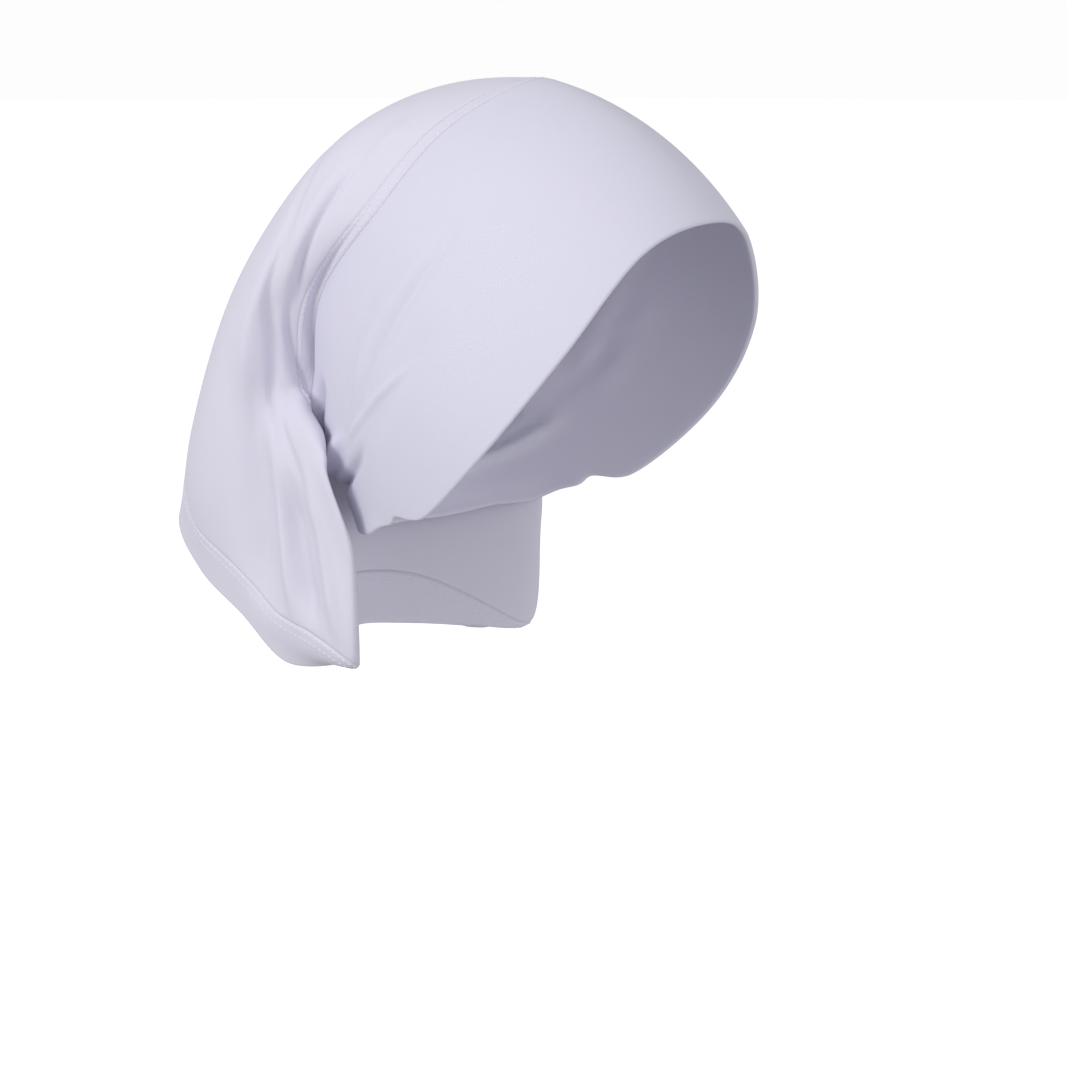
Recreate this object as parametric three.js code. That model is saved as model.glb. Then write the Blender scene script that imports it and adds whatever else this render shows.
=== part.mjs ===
import * as THREE from 'three';

// Jersey underscarf cap: a double front band, a stitched seam over the crown, a back bag and a turned hem.
// Millimetres, +Z up, the face opening towards -Y and the wearer's right at -X.
// The origin is on the inside of the cloth at the top of the crown.

// The hollow that takes the head
const hollowBreadth = 150;
const hollowLength = 186;
const hollowHeight = 210;

// Where the cloth ends below the crown, and how far the bag stands behind and hangs below the nape
const napeDrop = 178;
const bagOverhang = 82;
const bagHang = 49;

// Cloth
const bandWall = 2.2;
const seamWall = 1.8;
const bagWall = 1.4;
const hemWall = 2.0;
const seamWidth = 6.5;
const hemWidth = 20;
const edgeGap = 0.85;
const foldHeight = 6;
const foldWidth = 10;

// How far the band is drawn out to the round of the hollow: 0 is a straight cloth, 1 is skin tight
const bandCling = 0.66;

// The bag's front edge rolls past the nape: how far forward and out, where round the ring and how wide
const rollReach = 20;
const rollOut = 4;
const rollPlace = 143;
const rollSpread = 14;
// Shares of the bag's length over which the roll grows, over which it shrinks, and how much of it goes
const rollGrows = [0.04, 0.22];
const rollShrinks = [0.28, 0.78];
const rollShrinkage = 0.78;

// Fineness of the faceted cloth
const facesAround = 72;
const bandRows = 14;
const seamRows = 1;
const bagRows = 19;
const hemRows = 2;
const pathSteps = 14;

// Stations of each ring run from the middle of the top down one side to the middle of the nape.
// out: share of half the breadth. back: 1 is the back of the hollow, 2 the rear end of the bag.
// down: 1 is the band's nape edge, 2 the lowest hem.
const faceRing = [
  { out: 0.000, back: -0.817, down: 0.270 },
  { out: 0.440, back: -0.737, down: 0.326 },
  { out: 0.800, back: -0.559, down: 0.534 },
  { out: 0.933, back: -0.226, down: 0.753 },
  { out: 0.800, back: 0.237, down: 0.944 },
  { out: 0.480, back: 0.667, down: 1.000 },
  { out: 0.000, back: 0.860, down: 1.000 }
];
const seamRing = [
  { out: 0.000, back: 0.054, down: 0.000 },
  { out: 0.480, back: 0.226, down: 0.096 },
  { out: 0.720, back: 0.457, down: 0.281 },
  { out: 0.667, back: 0.785, down: 0.461 },
  { out: 0.587, back: 0.892, down: 0.629 },
  { out: 0.560, back: 0.900, down: 0.770 },
  { out: 0.000, back: 1.000, down: 0.843 }
];
const bagRings = [
  [
    { out: 0.000, back: 0.667, down: 0.050 },
    { out: 0.527, back: 0.742, down: 0.124 },
    { out: 0.827, back: 0.860, down: 0.320 },
    { out: 0.893, back: 1.010, down: 0.545 },
    { out: 0.800, back: 0.978, down: 0.730 },
    { out: 0.707, back: 0.914, down: 0.848 },
    { out: 0.000, back: 1.171, down: 0.888 }
  ],
  [
    { out: 0.000, back: 1.270, down: 0.298 },
    { out: 0.533, back: 1.305, down: 0.399 },
    { out: 0.827, back: 1.244, down: 0.590 },
    { out: 0.880, back: 1.134, down: 0.781 },
    { out: 0.800, back: 0.946, down: 0.944 },
    { out: 0.667, back: 0.731, down: 1.163 },
    { out: 0.000, back: 1.159, down: 1.204 }
  ],
  [
    { out: 0.000, back: 1.720, down: 0.663 },
    { out: 0.493, back: 1.695, down: 0.747 },
    { out: 0.760, back: 1.524, down: 0.893 },
    { out: 0.827, back: 1.220, down: 1.100 },
    { out: 0.773, back: 0.946, down: 1.640 },
    { out: 0.667, back: 0.640, down: 1.930 },
    { out: 0.000, back: 1.122, down: 1.612 }
  ],
  [
    { out: 0.000, back: 2.000, down: 0.938 },
    { out: 0.453, back: 1.890, down: 1.060 },
    { out: 0.693, back: 1.549, down: 1.388 },
    { out: 0.760, back: 1.220, down: 1.673 },
    { out: 0.693, back: 0.980, down: 2.030 },
    { out: 0.507, back: 0.810, down: 1.990 },
    { out: 0.000, back: 1.061, down: 1.900 }
  ]
];

// The face edge is drawn up a little where the band gathers towards the nape
const edgeLifts = [
  { around: 121, spread: 4, lift: 4.5 },
  { around: 128, spread: 9, lift: 2.6 },
  { around: 145, spread: 14, lift: 2.6 }
];

// Folds, ridges above 0 and valleys below. A place is [degrees round from the top, way along the cloth],
// where the way is 0 at the face edge, 1 at the seam and 2 at the hem's free edge.
// high: share of foldHeight. wide: share of foldWidth. far: its strength on the wearer's left.
const bandFolds = [
  { name: 'gather valley', from: [50, 0.60], by: [72, 0.60], to: [108, 0.47],
    high: -0.40, wide: 0.50, far: 0.8 },
  { name: 'gather swell', from: [56, 0.68], by: [78, 0.67], to: [108, 0.56],
    high: 0.25, wide: 0.60, far: 0.8 },
  { name: 'short valley', from: [72, 0.75], by: [90, 0.72], to: [108, 0.62],
    high: -0.25, wide: 0.45, far: 0.5 },
  { name: 'nape knob', from: [114, 0.56], by: [136, 0.66], to: [180, 0.62],
    high: 0.75, wide: 0.55, far: 1.0 },
  { name: 'under knob', from: [110, 0.43], by: [132, 0.42], to: [180, 0.40],
    high: -0.50, wide: 0.45, far: 1.0 },
  { name: 'nape roll', from: [120, 0.28], by: [140, 0.25], to: [180, 0.24],
    high: 0.25, wide: 0.50, far: 0.9 },
  { name: 'above knob', from: [120, 0.82], by: [146, 0.84], to: [180, 0.86],
    high: -0.35, wide: 0.45, far: 1.0 }
];
const bagFolds = [
  { name: 'seam crease', from: [56, 1.05], by: [96, 1.05], to: [133, 1.04],
    high: -0.30, wide: 0.45, far: 1.0 },
  { name: 'upper crease', from: [42, 1.13], by: [64, 1.17], to: [93, 1.08],
    high: -0.55, wide: 0.50, far: 0.7 },
  { name: 'upper ridge', from: [40, 1.21], by: [64, 1.22], to: [94, 1.14],
    high: 0.40, wide: 0.60, far: 0.8 },
  { name: 'outer crease', from: [26, 1.30], by: [58, 1.29], to: [98, 1.18],
    high: -0.40, wide: 0.55, far: 0.6 },
  { name: 'inner crease', from: [90, 1.10], by: [114, 1.13], to: [136, 1.04],
    high: -0.45, wide: 0.45, far: 0.8 },
  { name: 'side hollow', from: [84, 1.22], by: [110, 1.40], to: [110, 1.80],
    high: -0.80, wide: 1.00, far: 1.0 },
  { name: 'side roll', from: [120, 1.22], by: [119, 1.48], to: [126, 1.78],
    high: 0.60, wide: 0.55, far: 0.8 },
  { name: 'low valley', from: [127, 1.38], by: [128, 1.58], to: [134, 1.80],
    high: -0.60, wide: 0.50, far: 1.0 },
  { name: 'front streak', from: [134, 1.28], by: [135, 1.56], to: [141, 1.80],
    high: 0.40, wide: 0.45, far: 0.9 },
  { name: 'rear swell', from: [50, 1.34], by: [68, 1.55], to: [74, 1.86],
    high: 0.30, wide: 1.60, far: 0.7 }
];

// Steps by which the cloth is felt for its direction: degrees round, and way along
const feelRound = 0.5;
const feelAlong = 0.01;
// The step of the way by which a stride is measured
const strideStep = 0.002;
// The seam strip starts a hair past the seam, so that it counts as bag
const pastSeam = 1.0001;
// The longest stride, in millimetres, by which a length is measured along the cloth
const longestStride = 2;

function placeBack(share) {
  const beyond = Math.max(0, share - 1);
  return Math.min(share, 1) * hollowLength / 2 + beyond * bagOverhang;
}

function placeDown(share) {
  const beyond = Math.max(0, share - 1);
  return -Math.min(share, 1) * napeDrop - beyond * bagHang;
}

// A ring is a closed curve through its stations on the wearer's right and their mirror images on the left
function ringCurve(stations) {
  const place = (station, side) => new THREE.Vector3(
    side * station.out * hollowBreadth / 2,
    placeBack(station.back),
    bandWall + placeDown(station.down)
  );
  const right = stations.map((station) => place(station, -1));
  const left = stations.slice(1, -1).reverse().map((station) => place(station, 1));
  return new THREE.CatmullRomCurve3([...right, ...left], true, 'catmullrom', 0.5);
}

const faceCurve = ringCurve(faceRing);
const seamCurve = ringCurve(seamRing);
const bagCurves = bagRings.map(ringCurve);
const hollowCentre = new THREE.Vector3(0, 0, bandWall - hollowHeight / 2);
const hollowHalf = new THREE.Vector3(hollowBreadth / 2, hollowLength / 2, hollowHeight / 2);

// How far out a point is, where 1 is the surface of the round hollow
function reachOf(point) {
  return point.clone().sub(hollowCentre).divide(hollowHalf).length();
}

// The band runs straight from the face edge to the seam and is then drawn out round the hollow
function bandPoint(around, along) {
  const face = faceCurve.getPoint(around / 360);
  const seam = seamCurve.getPoint(around / 360);
  const reach = THREE.MathUtils.lerp(reachOf(face), reachOf(seam), along);
  const point = face.lerp(seam, along);
  const growth = Math.pow(reach / reachOf(point), bandCling);
  return point.sub(hollowCentre).multiplyScalar(growth).add(hollowCentre);
}

// Degrees from the middle of the top, the same on both sides
function degreesFromTop(around) {
  return Math.abs(THREE.MathUtils.euclideanModulo(around + 180, 360) - 180);
}

function bell(distance, spread) {
  return Math.exp(-((distance / spread) ** 2));
}

// The share of the full roll that the bag has at a place
function rollShare(around, along) {
  const grown = THREE.MathUtils.smoothstep(along, ...rollGrows);
  const left = 1 - rollShrinkage * THREE.MathUtils.smoothstep(along, ...rollShrinks);
  return bell(degreesFromTop(around) - rollPlace, rollSpread) * grown * left;
}

// The way along the band that gives the bag its direction at the seam
const leadIn = 0.75;

// The bag leaves the seam in the band's direction and passes smoothly through its own rings
function bagPoint(around, along) {
  const rings = [seamCurve, ...bagCurves].map((curve) => curve.getPoint(around / 360));
  const last = rings[rings.length - 1];
  const afterLast = last.clone().multiplyScalar(2).sub(rings[rings.length - 2]);
  const controls = [bandPoint(around, leadIn), ...rings, afterLast];
  const line = new THREE.CatmullRomCurve3(controls, false, 'catmullrom', 0.5);
  const point = line.getPoint((1 + along * bagCurves.length) / (rings.length + 1));
  const roll = rollShare(around, along);
  point.x += Math.sign(point.x) * rollOut * roll;
  point.y -= rollReach * roll;
  return point;
}

// A point of the plain cloth, before its folds
function clothPoint(around, along) {
  const turn = ((around % 360) + 360) % 360;
  return along <= 1 ? bandPoint(turn, Math.max(along, 0)) : bagPoint(turn, Math.min(along - 1, 1));
}

function clothNormal(around, along) {
  const before = clothPoint(around, Math.max(along - feelAlong, 0));
  const after = clothPoint(around, Math.min(along + feelAlong, 2));
  const lengthwise = after.sub(before);
  const crosswise = clothPoint(around + feelRound, along).sub(clothPoint(around - feelRound, along));
  return lengthwise.cross(crosswise).normalize();
}

// The way along the cloth that lies a length past another, or before it where the length is negative
function moveAlong(around, along, length) {
  const strides = Math.ceil(Math.abs(length) / longestStride);
  const step = Math.sign(length) * strideStep;
  let way = along;
  for (let stride = 0; stride < strides; stride += 1) {
    const measured = clothPoint(around, way).distanceTo(clothPoint(around, way + step));
    way += length / strides * strideStep / measured;
  }
  return way;
}

function faceEdge(around) {
  const lifts = edgeLifts.map((row) => row.lift * bell(degreesFromTop(around) - row.around, row.spread));
  return moveAlong(around, 0, lifts.reduce((sum, lift) => sum + lift, 0));
}

// The middle line of a fold, as points on the plain cloth
function foldPath(fold, mirrored) {
  const points = [];
  for (let step = 0; step <= pathSteps; step += 1) {
    const t = step / pathSteps;
    const [around, along] = [0, 1].map((axis) => (
      (1 - t) * (1 - t) * fold.from[axis] + 2 * t * (1 - t) * fold.by[axis] + t * t * fold.to[axis]
    ));
    points.push(clothPoint(mirrored ? 360 - around : around, along));
  }
  return points;
}

function laidFolds(rows) {
  return rows.flatMap((fold) => [
    { path: foldPath(fold, false), high: fold.high * foldHeight, wide: fold.wide * foldWidth, fold },
    { path: foldPath(fold, true), high: fold.high * fold.far * foldHeight, wide: fold.wide * foldWidth, fold }
  ]);
}

const foldsOfBand = laidFolds(bandFolds);
const foldsOfBag = laidFolds(bagFolds);

// A fold fades out over its first and last thirds, unless it goes on round the nape
const fadesIn = [-0.05, 0.3];
const fadesOut = [0.7, 1.05];

function fadeAt(t, fold) {
  const start = THREE.MathUtils.smoothstep(t, ...fadesIn);
  const end = fold.to[0] === 180 ? 1 : 1 - THREE.MathUtils.smoothstep(t, ...fadesOut);
  return start * end;
}

// Height of all the folds over the plain cloth at one point
function foldRise(point, along) {
  const folds = along <= 1 ? foldsOfBand : foldsOfBag;
  let rise = 0;
  for (const { path, high, wide, fold } of folds) {
    let nearest = Infinity;
    let place = 0;
    path.forEach((spot, index) => {
      const distance = spot.distanceTo(point);
      if (distance < nearest) {
        nearest = distance;
        place = index / pathSteps;
      }
    });
    rise += high * bell(nearest, wide) * fadeAt(place, fold);
  }
  return rise;
}

// The rows of a wall run over the outside, round the far edge and back over the inside.
// share: place between start and end. depth: below the outside. past: beyond the edge, to its rounding.
function wallSections({ rows, wall, roundedStart, roundedEnd }) {
  const sections = [];
  for (let row = 0; row <= rows; row += 1) {
    sections.push({ share: row / rows, depth: 0, past: 0 });
  }
  if (roundedEnd) {
    sections.push({ share: 1, depth: wall / 2, past: wall / 2 });
  }
  for (let row = rows; row >= 0; row -= 1) {
    sections.push({ share: row / rows, depth: wall, past: 0 });
  }
  if (roundedStart) {
    sections.push({ share: 0, depth: wall / 2, past: -wall / 2 });
  }
  return sections;
}

// A point of the worn cloth, with its folds
function wornPoint(around, along, depth, past) {
  const plain = clothPoint(around, along);
  const point = plain.clone().addScaledVector(clothNormal(around, along), foldRise(plain, along) - depth);
  if (past !== 0) {
    const inside = clothPoint(around, along - Math.sign(past) * feelAlong);
    point.addScaledVector(plain.sub(inside).normalize(), Math.abs(past));
  }
  return point;
}

// Faces between neighbouring columns round the cap and neighbouring rows of the wall, both closed rings
function wallFaces(count) {
  const faces = [];
  for (let column = 0; column < facesAround; column += 1) {
    const next = (column + 1) % facesAround;
    for (let row = 0; row < count; row += 1) {
      const after = (row + 1) % count;
      const [a, b] = [column * count + row, column * count + after];
      const [c, d] = [next * count + after, next * count + row];
      faces.push(a, b, c, a, c, d);
    }
  }
  return faces;
}

function clothPiece({ name, start, end, rows, wall, colour, roundedStart = false, roundedEnd = false }) {
  const sections = wallSections({ rows, wall, roundedStart, roundedEnd });
  const positions = [];
  for (let column = 0; column < facesAround; column += 1) {
    const around = 360 * column / facesAround;
    const [first, last] = [start(around), end(around)];
    for (const { share, depth, past } of sections) {
      const point = wornPoint(around, THREE.MathUtils.lerp(first, last, share), depth, past);
      positions.push(point.x, point.y, point.z);
    }
  }
  const geometry = new THREE.BufferGeometry();
  geometry.setAttribute('position', new THREE.Float32BufferAttribute(positions, 3));
  geometry.setIndex(wallFaces(sections.length));
  geometry.computeVertexNormals();
  const material = new THREE.MeshStandardMaterial({ color: colour, roughness: 0.85, metalness: 0 });
  const mesh = new THREE.Mesh(geometry, material);
  mesh.name = name;
  return mesh;
}

const seamStart = () => pastSeam;
const seamEnd = (around) => moveAlong(around, 1, seamWidth);
const hemStart = (around) => moveAlong(around, 2, -hemWidth);
const bandEnd = (around) => moveAlong(around, 1, -edgeGap);
const bagStart = (around) => moveAlong(around, seamEnd(around), edgeGap);
const bagEnd = (around) => moveAlong(around, hemStart(around), -edgeGap);

const cap = new THREE.Group();
cap.add(clothPiece({
  name: 'front_band',
  start: faceEdge,
  end: bandEnd,
  rows: bandRows,
  wall: bandWall,
  colour: 0xdfdeef,
  roundedStart: true
}));
cap.add(clothPiece({
  name: 'crown_seam',
  start: seamStart,
  end: seamEnd,
  rows: seamRows,
  wall: seamWall,
  colour: 0xd6d5e6
}));
cap.add(clothPiece({
  name: 'back_bag',
  start: bagStart,
  end: bagEnd,
  rows: bagRows,
  wall: bagWall,
  colour: 0xd9d8e4
}));
cap.add(clothPiece({
  name: 'rear_hem',
  start: hemStart,
  end: () => 2,
  rows: hemRows,
  wall: hemWall,
  colour: 0xd4d3e0,
  roundedEnd: true
}));

export default cap;
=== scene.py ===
# %% [markdown]
# # A jersey underscarf cap
# The cap is a tube of fine stretch jersey. A wide double band lies smooth round the face,
# a stitched seam crosses the crown, and a loose back bag hangs behind and ends in a turned hem.
# This script dresses the measured solids of the cap with cloth, stitches, light and a camera.

# %% Load the frame
import math

import bmesh
import bpy
import numpy as np
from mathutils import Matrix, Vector


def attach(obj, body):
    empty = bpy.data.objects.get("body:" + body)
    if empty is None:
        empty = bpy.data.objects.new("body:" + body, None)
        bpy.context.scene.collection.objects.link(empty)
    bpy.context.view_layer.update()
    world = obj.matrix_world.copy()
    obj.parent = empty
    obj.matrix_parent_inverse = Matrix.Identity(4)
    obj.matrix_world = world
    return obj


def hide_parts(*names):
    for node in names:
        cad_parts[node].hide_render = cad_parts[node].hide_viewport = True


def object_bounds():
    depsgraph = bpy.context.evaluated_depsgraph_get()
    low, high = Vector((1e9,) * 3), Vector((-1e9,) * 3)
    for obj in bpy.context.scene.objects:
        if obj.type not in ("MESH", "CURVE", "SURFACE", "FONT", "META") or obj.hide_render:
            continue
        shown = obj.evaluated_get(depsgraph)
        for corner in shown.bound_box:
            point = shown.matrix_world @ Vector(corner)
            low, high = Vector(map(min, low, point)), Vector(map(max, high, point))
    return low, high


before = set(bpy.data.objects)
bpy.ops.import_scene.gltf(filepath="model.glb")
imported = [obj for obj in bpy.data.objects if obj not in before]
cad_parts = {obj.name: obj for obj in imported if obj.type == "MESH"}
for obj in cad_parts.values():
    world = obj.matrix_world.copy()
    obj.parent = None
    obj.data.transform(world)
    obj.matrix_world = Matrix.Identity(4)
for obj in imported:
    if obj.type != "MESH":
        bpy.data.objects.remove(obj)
cad_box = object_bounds()
print("solids from", [round(x, 4) for x in cad_box[0]], "to", [round(x, 4) for x in cad_box[1]])

# %% [markdown]
# ## The hollow and the rings
# Real caps are cut flat, but their worn form is easiest to state as rings of cloth: one round the face,
# one along the seam and four round the bag. Each ring has seven stations from the middle of the top down
# one side to the nape, and the other side is its mirror image. The numbers are shares of a few sizes.

# %% Sizes of the hollow and of the cloth, in metres
HOLLOW_BREADTH = 0.150
HOLLOW_LENGTH = 0.186
HOLLOW_HEIGHT = 0.210
NAPE_DROP = 0.178
BAG_OVERHANG = 0.082
BAG_HANG = 0.049
BAND_CLING = 0.66
ROLL_REACH = 0.0235
ROLL_OUT = 0.004
BAND_WALL = 0.0022
BAG_WALL = 0.0011
HEM_WALL = 0.0020
SEAM_WALL = 0.0018
SEAM_WIDTH = 0.0065
HEM_WIDTH = 0.020
FOLD_HEIGHT = 0.006
FOLD_WIDTH = 0.010
MM = 0.001

# Degrees round at which the bag's front edge rolls forward and out past the nape, and how wide the roll is
ROLL_PLACE = 143
ROLL_SPREAD = 14

# Shares of the bag's length over which the roll grows, over which it shrinks, and how much of it goes
ROLL_GROWS = (0.04, 0.22)
ROLL_SHRINKS = (0.28, 0.78)
ROLL_SHRINKAGE = 0.72

# Columns of a station: out (share of half the breadth), back (1 is the back of the hollow, 2 the rear end
# of the bag), down (1 is the band's nape edge, 2 the lowest hem)
FACE_RING = [(0.000, -0.817, 0.270), (0.440, -0.737, 0.326), (0.800, -0.559, 0.534), (0.933, -0.226, 0.753),
             (0.800, 0.237, 0.944), (0.480, 0.667, 1.000), (0.000, 0.860, 1.000)]
SEAM_RING = [(0.000, 0.054, 0.000), (0.480, 0.226, 0.096), (0.720, 0.457, 0.281), (0.667, 0.785, 0.461),
             (0.587, 0.892, 0.629), (0.560, 0.900, 0.770), (0.000, 1.000, 0.843)]
BAG_RINGS = [
    [(0.000, 0.667, 0.050), (0.527, 0.742, 0.124), (0.827, 0.860, 0.320), (0.893, 1.010, 0.545),
     (0.800, 0.978, 0.730), (0.707, 0.914, 0.848), (0.000, 1.171, 0.888)],
    [(0.000, 1.270, 0.298), (0.533, 1.305, 0.399), (0.827, 1.244, 0.590), (0.880, 1.134, 0.781),
     (0.800, 0.946, 0.944), (0.667, 0.731, 1.163), (0.000, 1.159, 1.204)],
    [(0.000, 1.720, 0.663), (0.493, 1.695, 0.747), (0.760, 1.524, 0.893), (0.827, 1.220, 1.100),
     (0.773, 0.946, 1.640), (0.667, 0.640, 1.930), (0.000, 1.122, 1.612)],
    [(0.000, 2.000, 0.938), (0.453, 1.890, 1.060), (0.693, 1.549, 1.388), (0.760, 1.220, 1.673),
     (0.693, 0.980, 2.040), (0.507, 0.810, 1.995), (0.000, 1.061, 1.900)],
]
print("rings:", 2 + len(BAG_RINGS), "stations in each:", len(FACE_RING))

# %% [markdown]
# ## From rings to a plain cloth
# A smooth curve through the stations gives any point of a ring. Between the face and the seam the cloth is
# stretched, so it runs straight and is then drawn out to the round of the hollow. Behind the seam it hangs,
# so a smooth curve passes through the bag's rings. One function gives a point for two numbers: `around`,
# in degrees from the top, and `along`, 0 at the face, 1 at the seam and 2 at the free edge.

# %% A smooth curve through four neighbouring points
def smooth_between(p0, p1, p2, p3, f):
    f = f[..., None]
    return 0.5 * (2 * p1 + (p2 - p0) * f + (2 * p0 - 5 * p1 + 4 * p2 - p3) * f ** 2
                  + (3 * p1 - p0 - 3 * p2 + p3) * f ** 3)


def ring_points(stations, around):
    out, back, down = np.array(stations).T
    half = np.stack([
        -out * HOLLOW_BREADTH / 2,
        np.minimum(back, 1) * HOLLOW_LENGTH / 2 + np.maximum(back - 1, 0) * BAG_OVERHANG,
        BAND_WALL - np.minimum(down, 1) * NAPE_DROP - np.maximum(down - 1, 0) * BAG_HANG,
    ], axis=-1)
    ring = np.vstack([half, half[-2:0:-1] * [-1, 1, 1]])
    place = np.asarray(around) / 360 * len(ring) % len(ring)
    first = np.floor(place).astype(int)
    near = [ring[(first + step) % len(ring)] for step in (-1, 0, 1, 2)]
    return smooth_between(*near, place - first)


# %% The band, the bag and the whole plain cloth
HOLLOW_CENTRE = np.array([0, 0, BAND_WALL - HOLLOW_HEIGHT / 2])
HOLLOW_HALF = np.array([HOLLOW_BREADTH, HOLLOW_LENGTH, HOLLOW_HEIGHT]) / 2


def reach(points):
    return np.linalg.norm((points - HOLLOW_CENTRE) / HOLLOW_HALF, axis=-1)


def band_points(around, along):
    face = ring_points(FACE_RING, around)
    seam = ring_points(SEAM_RING, around)
    share = along[..., None]
    straight = face * (1 - share) + seam * share
    wanted = reach(face) * (1 - along) + reach(seam) * along
    growth = (wanted / reach(straight)) ** BAND_CLING
    return HOLLOW_CENTRE + (straight - HOLLOW_CENTRE) * growth[..., None]


def soft_step(value, low, high):
    share = np.clip((value - low) / (high - low), 0, 1)
    return share * share * (3 - 2 * share)


def degrees_from_top(around):
    return np.abs((around + 180) % 360 - 180)


def bell(distances, spread):
    return np.exp(-(distances / spread) ** 2)


def roll_share(around, along):
    spread = bell(degrees_from_top(around) - ROLL_PLACE, ROLL_SPREAD)
    return spread * soft_step(along, *ROLL_GROWS) * (1 - ROLL_SHRINKAGE * soft_step(along, *ROLL_SHRINKS))


# The place along the band that gives the bag its direction at the seam
LEAD_IN = 0.75


def bag_points(around, along):
    rings = [band_points(around, np.full(np.shape(around), LEAD_IN)), ring_points(SEAM_RING, around)]
    rings += [ring_points(stations, around) for stations in BAG_RINGS]
    rings.append(2 * rings[-1] - rings[-2])
    rings = np.array(rings)
    place = along * len(BAG_RINGS)
    first = np.minimum(np.floor(place).astype(int), len(BAG_RINGS) - 1)
    index = np.broadcast_to(first[None, ..., None], (1,) + first.shape + (3,))
    near = [np.take_along_axis(rings, index + step, 0)[0] for step in range(4)]
    points = smooth_between(*near, place - first)
    roll = roll_share(around, along)
    points[..., 0] += np.sign(points[..., 0]) * ROLL_OUT * roll
    points[..., 1] -= ROLL_REACH * roll
    return points


def cloth_points(around, along):
    around, along = np.broadcast_arrays(np.asarray(around, float), np.asarray(along, float))
    band = band_points(around, np.clip(along, 0, 1))
    bag = bag_points(around, np.clip(along - 1, 0, 1))
    return np.where((along <= 1)[..., None], band, bag)


# %% Directions and lengths on the cloth
# Small steps over which the cloth's directions are felt: degrees round, and share of the way along
FEEL_ROUND = 0.5
FEEL_ALONG = 0.01

# A length on the cloth is walked in strides of at most so many metres, each measured over a small step along
LONGEST_STRIDE = 0.002
STRIDE_STEP = 0.002

# Keeps a vector without length from a division by nothing
TINY = 1e-12


def unit(vectors):
    return vectors / np.maximum(np.linalg.norm(vectors, axis=-1, keepdims=True), TINY)


def cloth_headings(around, along):
    before = cloth_points(around, np.maximum(along - FEEL_ALONG, 0))
    after = cloth_points(around, np.minimum(along + FEEL_ALONG, 2))
    return after - before


def cloth_normals(around, along):
    crosswise = cloth_points(around + FEEL_ROUND, along) - cloth_points(around - FEEL_ROUND, along)
    return unit(np.cross(cloth_headings(around, along), crosswise))


def move_along(around, along, length):
    strides = math.ceil(abs(length) / LONGEST_STRIDE)
    step = math.copysign(STRIDE_STEP, length)
    for _ in range(strides):
        measured = np.linalg.norm(cloth_points(around, along) - cloth_points(around, along + step), axis=-1)
        along = along + length / strides * abs(step) / measured
    return along


# %% [markdown]
# ## Folds
# The band is pulled together at the nape, so soft gathers run up from a small roll of cloth there. The bag
# hangs from the seam in long folds. Each fold is a curve on the cloth with a height and a width, a ridge
# where the height is above 0 and a valley where it is below.

# %% The folds in tables
# Columns: name, from, by, to (each a place: degrees round, way along), rise (share of FOLD_HEIGHT), width
# (share of FOLD_WIDTH), far (strength on the left side)
FOLDS = [
    ("gather valley", (50, 0.60), (72, 0.60), (108, 0.47), -0.24, 0.28, 0.8),
    ("gather swell", (56, 0.64), (78, 0.64), (108, 0.53), 0.16, 0.40, 0.8),
    ("short valley", (72, 0.69), (88, 0.66), (108, 0.56), -0.16, 0.22, 0.5),
    ("knob ridge", (80, 0.41), (96, 0.46), (116, 0.52), 0.18, 0.16, 1.0),
    ("soft valley", (70, 0.45), (88, 0.41), (106, 0.38), -0.14, 0.50, 1.0),
    ("nape knob", (115, 0.55), (134, 0.66), (180, 0.66), 0.55, 0.31, 1.0),
    ("under knob", (109, 0.42), (128, 0.43), (180, 0.48), -0.56, 0.24, 1.0),
    ("nape roll", (122, 0.28), (140, 0.25), (180, 0.24), 0.05, 0.40, 0.9),
    ("edge flare", (126, 0.06), (144, 0.05), (180, 0.05), 0.42, 0.70, 1.0),
    ("above knob", (112, 0.82), (132, 0.89), (180, 0.88), -0.80, 0.36, 1.0),
    ("front lip", (128, 1.05), (137, 1.10), (144, 1.19), 0.55, 0.42, 1.0),
    ("seam crease", (56, 1.035), (96, 1.040), (130, 0.98), -0.26, 0.14, 1.0),
    ("seam ridge", (60, 1.085), (94, 1.075), (130, 1.03), 0.16, 0.32, 1.0),
    ("crown ripple", (30, 1.10), (36, 1.13), (50, 1.10), 0.16, 0.35, 0.6),
    ("upper crease", (42, 1.135), (64, 1.175), (93, 1.08), -0.28, 0.15, 0.7),
    ("upper ridge", (44, 1.175), (66, 1.20), (92, 1.12), 0.26, 0.32, 0.7),
    ("outer crease", (26, 1.30), (64, 1.25), (116, 1.12), -0.26, 0.24, 0.6),
    ("inner crease", (88, 1.11), (114, 1.13), (136, 1.01), -0.26, 0.14, 0.8),
    ("inner ridge", (88, 1.145), (112, 1.16), (132, 1.10), 0.16, 0.30, 0.8),
    ("side line", (80, 1.18), (124, 1.10), (134, 1.42), -0.26, 0.26, 0.8),
    ("side hollow", (106, 1.20), (104, 1.52), (112, 1.82), -0.80, 0.90, 1.0),
    ("side roll", (120, 1.22), (119, 1.48), (126, 1.76), 0.55, 0.34, 0.8),
    ("low valley", (125, 1.38), (126, 1.58), (132, 1.70), -0.62, 0.42, 1.0),
    ("front streak", (133, 1.28), (133, 1.54), (139, 1.72), 0.45, 0.30, 0.9),
    ("rear swell", (50, 1.34), (68, 1.55), (74, 1.86), 0.30, 1.60, 0.7),
]
print("folds on each side:", len(FOLDS))


# %% The shift that the folds give to each point of the plain cloth
PATH_SHARES = np.linspace(0, 1, 61)

# Shares of a fold's length over which it fades in and out; one that ends at the nape doesn't fade out
FADES_IN = (-0.05, 0.3)
FADES_OUT = (0.7, 1.05)
NAPE = 180

# A fold is felt as far as this many of its widths away
WIDTHS_FELT = 4


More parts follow.
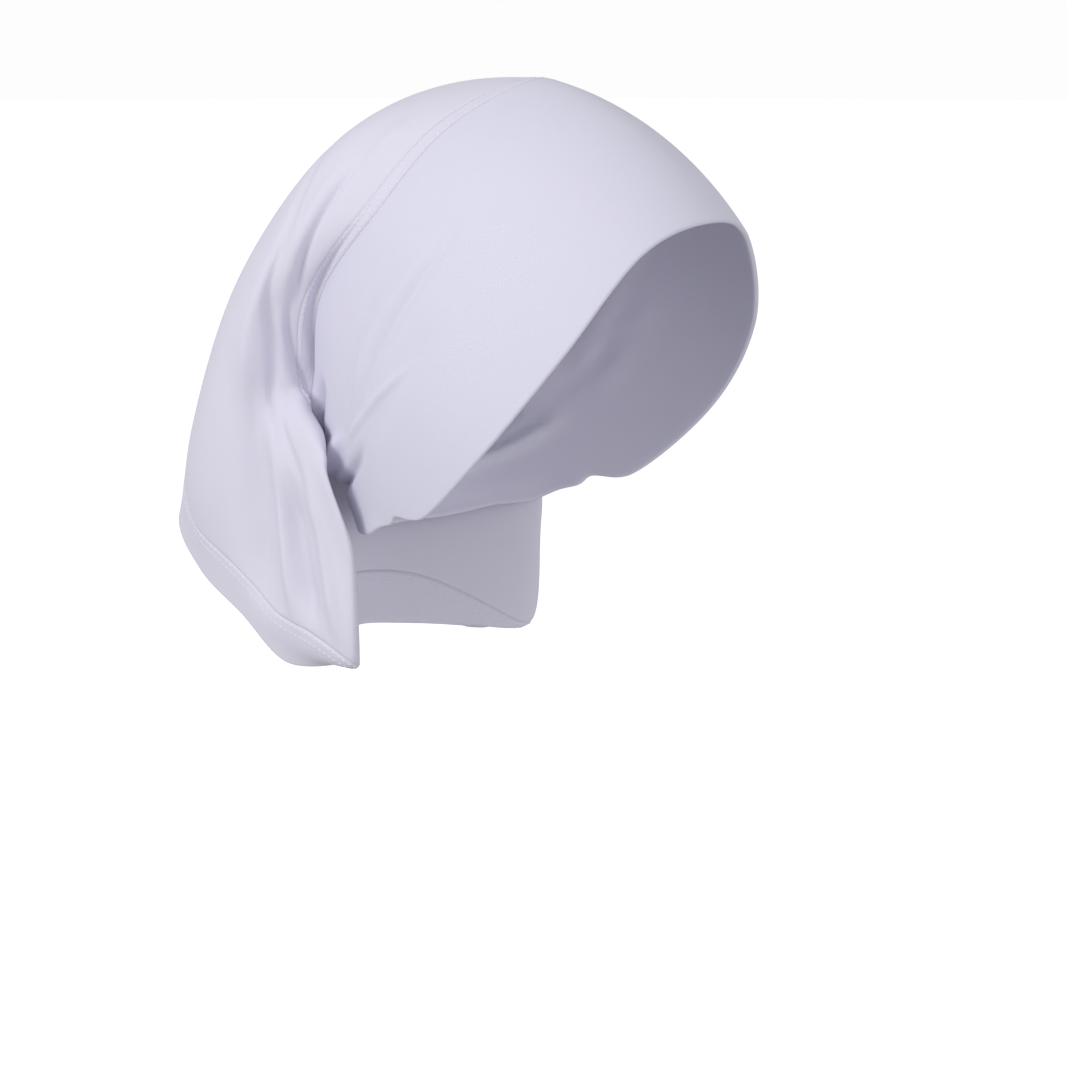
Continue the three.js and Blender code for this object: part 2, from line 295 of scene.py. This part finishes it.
def fold_path(start, by, end, mirrored):
    t = PATH_SHARES[:, None]
    places = (1 - t) ** 2 * np.array(start) + 2 * t * (1 - t) * np.array(by) + t ** 2 * np.array(end)
    around = 360 - places[:, 0] if mirrored else places[:, 0]
    points = cloth_points(around, places[:, 1])
    return points, unit(np.gradient(points, axis=0))


def fold_shift(points, normals):
    shift = np.zeros_like(points)
    for _, start, by, end, rise, width, far in FOLDS:
        for mirrored in (False, True):
            path, headings = fold_path(start, by, end, mirrored)
            spacing = np.linalg.norm(np.diff(path, axis=0), axis=-1).mean()
            reach_of_fold = WIDTHS_FELT * width * FOLD_WIDTH
            low, high = path.min(0) - reach_of_fold, path.max(0) + reach_of_fold
            near = np.where(np.all((points > low) & (points < high), axis=-1))[0]
            gaps = points[near, None, :] - path[None]
            nearest = np.argmin((gaps ** 2).sum(-1), axis=1)
            gap = gaps[np.arange(len(near)), nearest]
            heading = headings[nearest]
            forward = (gap * heading).sum(-1)
            place = (nearest + forward / spacing) / (len(PATH_SHARES) - 1)
            inside = np.clip(place, 0, 1) == place
            gap = gap - heading * np.where(inside, forward, 0)[:, None]
            profile = bell(np.linalg.norm(gap, axis=-1), width * FOLD_WIDTH)
            fade = soft_step(place, *FADES_IN)
            if end[0] != NAPE:
                fade = fade * (1 - soft_step(place, *FADES_OUT))
            fade = fade * (far if mirrored else 1.0) * FOLD_HEIGHT
            shift[near] += normals[near] * (rise * profile * fade)[:, None]
    return shift


def worn_points(around, along, lift):
    plain = cloth_points(around, along)
    normals = cloth_normals(around, along)
    shift = fold_shift(plain.reshape(-1, 3), normals.reshape(-1, 3)).reshape(plain.shape)
    return plain + shift + normals * np.asarray(lift)[..., None], normals


# %% [markdown]
# ## A piece of cloth from a flat grid
# Each piece starts as a flat grid, as its cloth is cut flat. One direction of the grid is rolled into a ring
# that is joined at the nape. The other runs over the outside, turns at the edge and comes back over the
# inside, so a folded edge is round as on real jersey. Merging the doubles closes both joins.

# %% Sections of a wall, and the grid that is rolled into it
# Depth and width of the dip of the outside beside a sewn edge
EDGE_DIP = 0.00024
EDGE_DIP_WIDTH = 0.0006

# Turns at which a folded edge has a row of its own
EDGE_TURN = np.radians([30, 60, 90, 120, 150])
MERGE_DISTANCE = 2e-6


def wall_sections(rows, wall, round_start, round_end, crowding):
    inside_rows = rows // 4
    outside = (np.arange(rows + 1) / rows) ** crowding
    inside = (np.arange(inside_rows, -1, -1) / inside_rows) ** crowding
    sections = [(share, 0.0, 0.0) for share in outside]
    if round_end:
        sections += [(1.0, wall / 2 * (1 - math.cos(a)), wall / 2 * math.sin(a)) for a in EDGE_TURN]
    sections += [(share, wall, 0.0) for share in inside]
    if round_start:
        sections += [(0.0, wall / 2 * (1 + math.cos(a)), -wall / 2 * math.sin(a)) for a in EDGE_TURN]
    return np.array(sections)


def edge_dip(distances, round_start, round_end):
    dip = np.zeros_like(distances)
    if not round_start:
        dip += bell(distances, EDGE_DIP_WIDTH)
    if not round_end:
        dip += bell(distances[:, -1:] - distances, EDGE_DIP_WIDTH)
    return dip * EDGE_DIP


def wall_places(around, first, last, sections, rows, round_start, round_end):
    share, depth, past = sections.T
    along = first[:, None] + (last - first)[:, None] * share[None]
    degrees = np.broadcast_to(around[:, None], along.shape)
    places, normals = worn_points(degrees, along, np.broadcast_to(-depth, along.shape))
    places = places + unit(cloth_headings(degrees, along)) * past[None, :, None]
    outside = slice(0, rows + 1)
    steps = np.linalg.norm(np.diff(places[:, outside], axis=1), axis=-1)
    distances = np.concatenate([np.zeros((len(around), 1)), np.cumsum(steps, axis=1)], axis=1)
    places[:, outside] -= normals[:, outside] * edge_dip(distances, round_start, round_end)[..., None]
    round_length = np.linalg.norm(np.diff(places[:, 0], axis=0), axis=-1).sum()
    return places, round_length, distances[:, -1].mean()


def link_mesh(name, mesh):
    piece = bpy.data.objects.new(name, mesh)
    bpy.context.scene.collection.objects.link(piece)
    return piece


def cloth_piece(name, start, end, columns, rows, wall, round_start=False, round_end=False, crowding=1.0):
    sections = wall_sections(rows, wall, round_start, round_end, crowding)
    share = sections[:, 0]
    count = len(sections)
    around = NAPE + 360 * np.arange(columns + 1) / columns
    places, round_length, deep = wall_places(
        around, start(around), end(around), sections, rows, round_start, round_end)
    bm = bmesh.new()
    bmesh.ops.create_grid(bm, x_segments=columns, y_segments=count, size=1)
    uv_layer = bm.loops.layers.uv.new("cloth")
    for face in bm.faces:
        for loop in face.loops:
            x, y = loop.vert.co.x, loop.vert.co.y
            row = min(round((y + 1) / 2 * count), count - 1)
            loop[uv_layer].uv = ((x + 1) / 2 * round_length, share[row] * deep)
    for vert in bm.verts:
        column = round((vert.co.x + 1) / 2 * columns)
        row = round((vert.co.y + 1) / 2 * count) % count
        vert.co = places[column, row]
    bmesh.ops.remove_doubles(bm, verts=bm.verts, dist=MERGE_DISTANCE)
    if bm.calc_volume(signed=True) < 0:
        bmesh.ops.reverse_faces(bm, faces=bm.faces)
    mesh = bpy.data.meshes.new(name)
    bm.to_mesh(mesh)
    bm.free()
    mesh.shade_smooth()
    faces = len(mesh.polygons)
    print(f"{name}: {faces} faces, {round_length / MM:.0f} mm round, {deep / MM:.0f} mm deep")
    return link_mesh(name, mesh), round_length, deep


# %% [markdown]
# ## Jersey
# Fine jersey is knitted in columns of small loops. From an arm's length it looks smooth and matt, with a
# soft bloom at grazing angles, so the loops go into a shallow bump on the cloth's own coordinates.

# %% Shader expressions
class Sock:
    """A shader socket that understands + - * and its own node tree."""

    def __init__(self, tree, socket):
        self.tree = tree
        self.socket = socket

    def math(self, operation, *others):
        node = self.tree.nodes.new("ShaderNodeMath")
        node.operation = operation
        for slot, value in zip(node.inputs, (self,) + others):
            if isinstance(value, Sock):
                self.tree.links.new(value.socket, slot)
            else:
                slot.default_value = value
        return Sock(self.tree, node.outputs[0])

    def __add__(self, other):
        return self.math("ADD", other)

    def __sub__(self, other):
        return self.math("SUBTRACT", other)

    def __mul__(self, other):
        return self.math("MULTIPLY", other)

    def __rsub__(self, other):
        return (self * -1) + other

    __radd__ = __add__
    __rmul__ = __mul__


class Nodes:
    """A node tree with one method that adds any node."""

    def __init__(self, tree):
        self.tree = tree

    def put(self, slot, value):
        if isinstance(value, Sock):
            self.tree.links.new(value.socket, slot)
        else:
            slot.default_value = value

    def node(self, kind, settings=None, sockets=None, output=0):
        node = self.tree.nodes.new(kind)
        for key, value in (settings or {}).items():
            setattr(node, key, value)
        for slot, value in (sockets or {}).items():
            self.put(node.inputs[slot], value)
        return Sock(self.tree, node.outputs[output])


class Shader(Nodes):
    """A material with one Principled surface."""

    def __init__(self, name):
        self.material = bpy.data.materials.new(name)
        self.material.use_nodes = True
        super().__init__(self.material.node_tree)
        self.surface = self.tree.nodes["Principled BSDF"]

    def set(self, **values):
        for key, value in values.items():
            self.put(self.surface.inputs[key.replace("_", " ")], value)


# %% The jersey material
# Spacing of the knit's columns and of its rows
WALE = 0.0006
COURSE = 0.0005

# Places of the colour mixer's share, two colours and result among its sockets
MIX_SHARE, MIX_FIRST, MIX_SECOND, MIX_RESULT = 0, 6, 7, 2


def jersey(name, light, shade):
    shader = Shader(name)
    cloth_place = shader.node("ShaderNodeUVMap", {"uv_map": "cloth"})
    across = shader.node("ShaderNodeSeparateXYZ", sockets={"Vector": cloth_place}, output="X")
    along = shader.node("ShaderNodeSeparateXYZ", sockets={"Vector": cloth_place}, output="Y")
    wale = (across * (2 * math.pi / WALE)).math("SINE")
    slant = wale.math("ABSOLUTE") * 0.5
    course = (along * (2 * math.pi / COURSE) + slant * math.pi).math("SINE")
    loops = wale * 0.5 + course * 0.5
    place = shader.node("ShaderNodeTexCoord", output="Object")
    bloom = shader.node("ShaderNodeTexNoise", sockets={
        "Vector": place, "Scale": 38.0, "Detail": 3.0, "Roughness": 0.55})
    slub = shader.node("ShaderNodeTexNoise", sockets={
        "Vector": place, "Scale": 900.0, "Detail": 2.0, "Roughness": 0.6})
    colour = shader.node("ShaderNodeMix", {"data_type": "RGBA"}, {
        MIX_SHARE: bloom * 0.6 + slub * 0.4, MIX_FIRST: (*shade, 1), MIX_SECOND: (*light, 1)}, MIX_RESULT)
    relief = shader.node("ShaderNodeBump", sockets={
        "Strength": 0.22, "Distance": 0.00025, "Height": loops * 0.5 + slub * 0.6})
    shader.set(Base_Color=colour, Roughness=0.88, Normal=relief)
    shader.set(Sheen_Weight=0.18, Sheen_Roughness=0.5, Specular_IOR_Level=0.25)
    return shader.material


BAND_JERSEY = jersey("band_jersey", (0.69, 0.68, 0.81), (0.66, 0.65, 0.77))
BAG_JERSEY = jersey("bag_jersey", (0.71, 0.69, 0.81), (0.68, 0.66, 0.77))
THREAD = Shader("stitch_thread")
THREAD.set(Base_Color=(0.74, 0.73, 0.84, 1), Roughness=0.7, Sheen_Weight=0.3)

# %% [markdown]
# ## The four pieces of cloth
# The front band is two layers with a folded front edge, so it is the thickest and its edge is round. The
# seam strip is where band and bag are sewn together. The bag is one layer, and the hem is turned and sewn.

# %% Where each piece starts and ends
# A hair between two pieces, so that neither lies in the other
GAP = 0.00002

# Columns round the cap, and rows over the outside of each piece
COLUMNS = 450
BAND_ROWS = 124
STRIP_ROWS = 8
BAG_ROWS = 164
HEM_ROWS = 20

# Rows of the bag lie closer together towards the seam, where its creases are finest
BAG_CROWDING = 1.4

# The seam strip starts a hair past the seam, so that it counts as bag
PAST_SEAM = 1.0001


def seam_end(around):
    return move_along(around, 1.0, SEAM_WIDTH)


def hem_start(around):
    return move_along(around, 2.0, -HEM_WIDTH)


def dress(piece, node, material):
    piece.data.materials.append(material)
    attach(piece, "root")
    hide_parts(node)


# %% Front band
# Columns: degrees round, spread in degrees, lift of the face edge in millimetres
EDGE_LIFTS = [(119, 3.5, 5.5), (127, 9, 6.5), (146, 14, 4.0)]


def face_edge(around):
    turned = degrees_from_top(around)
    lift = sum(high * bell(turned - middle, spread) for middle, spread, high in EDGE_LIFTS)
    return move_along(around, 0.0, MM) * lift


band, band_round, band_deep = cloth_piece(
    "front_band_cloth",
    face_edge,
    lambda a: move_along(a, 1.0, -GAP),
    COLUMNS, BAND_ROWS, BAND_WALL, round_start=True)
dress(band, "front_band", BAND_JERSEY)

# %% Seam strip
strip, _, _ = cloth_piece(
    "crown_seam_cloth",
    lambda a: np.full_like(a, PAST_SEAM),
    seam_end,
    COLUMNS, STRIP_ROWS, SEAM_WALL)
dress(strip, "crown_seam", BAG_JERSEY)

# %% Back bag
bag, bag_round, bag_deep = cloth_piece(
    "back_bag_cloth",
    lambda a: move_along(a, seam_end(a), GAP),
    lambda a: move_along(a, hem_start(a), -GAP),
    COLUMNS, BAG_ROWS, BAG_WALL, crowding=BAG_CROWDING)
dress(bag, "back_bag", BAG_JERSEY)

# %% Rear hem
hem, _, _ = cloth_piece(
    "rear_hem_cloth",
    hem_start,
    lambda a: np.full_like(a, 2.0),
    COLUMNS, HEM_ROWS, HEM_WALL, round_end=True)
dress(hem, "rear_hem", BAG_JERSEY)

# %% [markdown]
# ## Stitches
# Both seams are sewn with two rows of short stitches. Each stitch is a small rounded grain of thread that
# lies along its row and is half sunk in the cloth, and the rows of a seam are joined into one mesh.

# %% Rows of stitches along a line on the worn cloth
STITCH_PITCH = 0.0026
STITCH_LENGTH = 0.0019
STITCH_WIDTH = 0.00042
STITCH_HEIGHT = 0.00022

# Rows lie this far inside a strip's or the hem's edge, and the hem's second row this far past its first
STITCH_MARGIN = 0.0014
HEM_ROW_SPACING = 0.0032

# Degrees round at which a row's line is measured
AROUND_FELT = np.linspace(0, 360, 1441)


def stitch_grain():
    bm = bmesh.new()
    bmesh.ops.create_uvsphere(bm, u_segments=8, v_segments=6, radius=1)
    places = np.array([vert.co[:] for vert in bm.verts])
    faces = [[vert.index for vert in face.verts] for face in bm.faces]
    bm.free()
    return places * [STITCH_LENGTH / 2, STITCH_WIDTH / 2, STITCH_HEIGHT], faces


def stitch_row(along):
    line, normals = worn_points(AROUND_FELT, along(AROUND_FELT), np.zeros_like(AROUND_FELT))
    lengths = np.concatenate([[0], np.cumsum(np.linalg.norm(np.diff(line, axis=0), axis=-1))])
    count = round(lengths[-1] / STITCH_PITCH)
    here = np.searchsorted(lengths, np.arange(count) / count * lengths[-1])
    headings = unit(np.gradient(line, axis=0))[here]
    across = unit(np.cross(normals[here], headings))
    turns = np.stack([headings, across, np.cross(headings, across)], axis=1)
    return line[here], turns


def stitches(name, rows):
    grain, grain_faces = stitch_grain()
    places, faces = [], []
    for along in rows:
        for middle, turn in zip(*stitch_row(along)):
            first = len(places) * len(grain)
            faces += [[first + index for index in face] for face in grain_faces]
            places.append(middle + grain @ turn)
    mesh = bpy.data.meshes.new(name)
    mesh.from_pydata(np.concatenate(places).tolist(), [], faces)
    mesh.shade_smooth()
    mesh.materials.append(THREAD.material)
    piece = link_mesh(name, mesh)
    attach(piece, "root")
    print(f"{name}: {len(places)} stitches")


stitches("seam_stitches", [
    lambda a: move_along(a, 1.0, STITCH_MARGIN),
    lambda a: move_along(a, 1.0, SEAM_WIDTH - STITCH_MARGIN),
])
stitches("hem_stitches", [
    lambda a: move_along(a, 2.0, STITCH_MARGIN - HEM_WIDTH),
    lambda a: move_along(a, 2.0, STITCH_MARGIN + HEM_ROW_SPACING - HEM_WIDTH),
])

# %% [markdown]
# ## Stage, light and camera
# The cap keeps its worn shape above a pale floor. One large soft light stands beside the cap, a weaker one
# near the camera, and the pale surroundings fill the rest.

# %% Floor
FLOOR_DROP = 0.24
FLOOR_RADIUS = 6.0
FLOOR_SIDES = 96
bm = bmesh.new()
bmesh.ops.create_circle(bm, cap_ends=True, segments=FLOOR_SIDES, radius=FLOOR_RADIUS)
for vert in bm.verts:
    vert.co.z = cad_box[0].z - FLOOR_DROP
floor_mesh = bpy.data.meshes.new("floor")
bm.to_mesh(floor_mesh)
bm.free()
floor = link_mesh("floor", floor_mesh)
floor_paint = Shader("floor_paint")
floor_paint.set(Base_Color=(0.95, 0.95, 0.95, 1), Roughness=0.9)
floor_paint.set(Emission_Color=(1, 1, 1, 1), Emission_Strength=0.48)
floor.data.materials.append(floor_paint.material)
floor.visible_diffuse = False

# %% Surroundings and lights
LIGHT_ABOVE = 0.66
LIGHT_BELOW = 0.38
LIGHT_TARGET = Vector((0, 0.04, -0.11))
LIGHT_DISTANCE = 1.8
world = bpy.data.worlds.new("surroundings")
bpy.context.scene.world = world
world.use_nodes = True
surroundings = Nodes(world.node_tree)
direction = surroundings.node("ShaderNodeTexCoord", output="Generated")
upward = surroundings.node("ShaderNodeSeparateXYZ", sockets={"Vector": direction}, output="Z")
strength = surroundings.node("ShaderNodeMapRange", sockets={
    "Value": upward, "From Min": -1, "From Max": 1, "To Min": LIGHT_BELOW, "To Max": LIGHT_ABOVE})
lighting = surroundings.node("ShaderNodeBackground", sockets={"Color": (1, 1, 1, 1), "Strength": strength})
backdrop = surroundings.node("ShaderNodeBackground", sockets={"Color": (0.98, 0.98, 0.98, 1)})
to_camera = surroundings.node("ShaderNodeLightPath", output="Is Camera Ray")
chosen = surroundings.node("ShaderNodeMixShader", sockets={0: to_camera, 1: lighting, 2: backdrop})
surroundings.put(surroundings.tree.nodes["World Output"].inputs["Surface"], chosen)


def soft_light(name, azimuth, elevation, width, power):
    a, e = math.radians(azimuth), math.radians(elevation)
    towards = Vector((math.sin(a) * math.cos(e), -math.cos(a) * math.cos(e), math.sin(e)))
    lamp = bpy.data.lights.new(name, "AREA")
    lamp.shape = "DISK"
    lamp.size = width
    lamp.energy = power
    light = bpy.data.objects.new(name, lamp)
    light.location = LIGHT_TARGET + towards * LIGHT_DISTANCE
    light.rotation_euler = towards.to_track_quat("Z", "Y").to_euler()
    bpy.context.scene.collection.objects.link(light)


soft_light("key", azimuth=-104, elevation=22, width=0.9, power=15.0)
soft_light("fill", azimuth=-24, elevation=4, width=1.2, power=8.0)

# %% Camera
# The camera looks at AXIS_TARGET from AZIMUTH and ELEVATION, and turns until it is seen at AXIS_PIXEL
AZIMUTH = math.radians(-50)
ELEVATION = math.radians(8)
DISTANCE = 1.6
FOCAL_PIXELS = 4112
IMAGE_WIDTH = 1067
IMAGE_HEIGHT = 1068
AXIS_PIXEL = (472.2, 357.8)
AXIS_TARGET = Vector((0, 0.040, -0.1078))
SENSOR_WIDTH = 36
level_back = Vector((math.sin(AZIMUTH), -math.cos(AZIMUTH), 0))
back = level_back * math.cos(ELEVATION) + Vector((0, 0, math.sin(ELEVATION)))
right = Vector((math.cos(AZIMUTH), math.sin(AZIMUTH), 0))
up = back.cross(right)
centre_right = (IMAGE_WIDTH / 2 - AXIS_PIXEL[0]) / FOCAL_PIXELS
centre_down = (IMAGE_HEIGHT / 2 - AXIS_PIXEL[1]) / FOCAL_PIXELS
looking = -back + right * centre_right - up * centre_down
lens = bpy.data.cameras.new("camera")
lens.sensor_width = SENSOR_WIDTH
lens.lens = FOCAL_PIXELS / IMAGE_WIDTH * SENSOR_WIDTH
lens.clip_end = 50
camera = bpy.data.objects.new("camera", lens)
camera.location = AXIS_TARGET + back * DISTANCE
camera.rotation_euler = looking.to_track_quat("-Z", "Y").to_euler()
bpy.context.scene.collection.objects.link(camera)
bpy.context.scene.camera = camera
bpy.context.scene.view_settings.view_transform = "Standard"
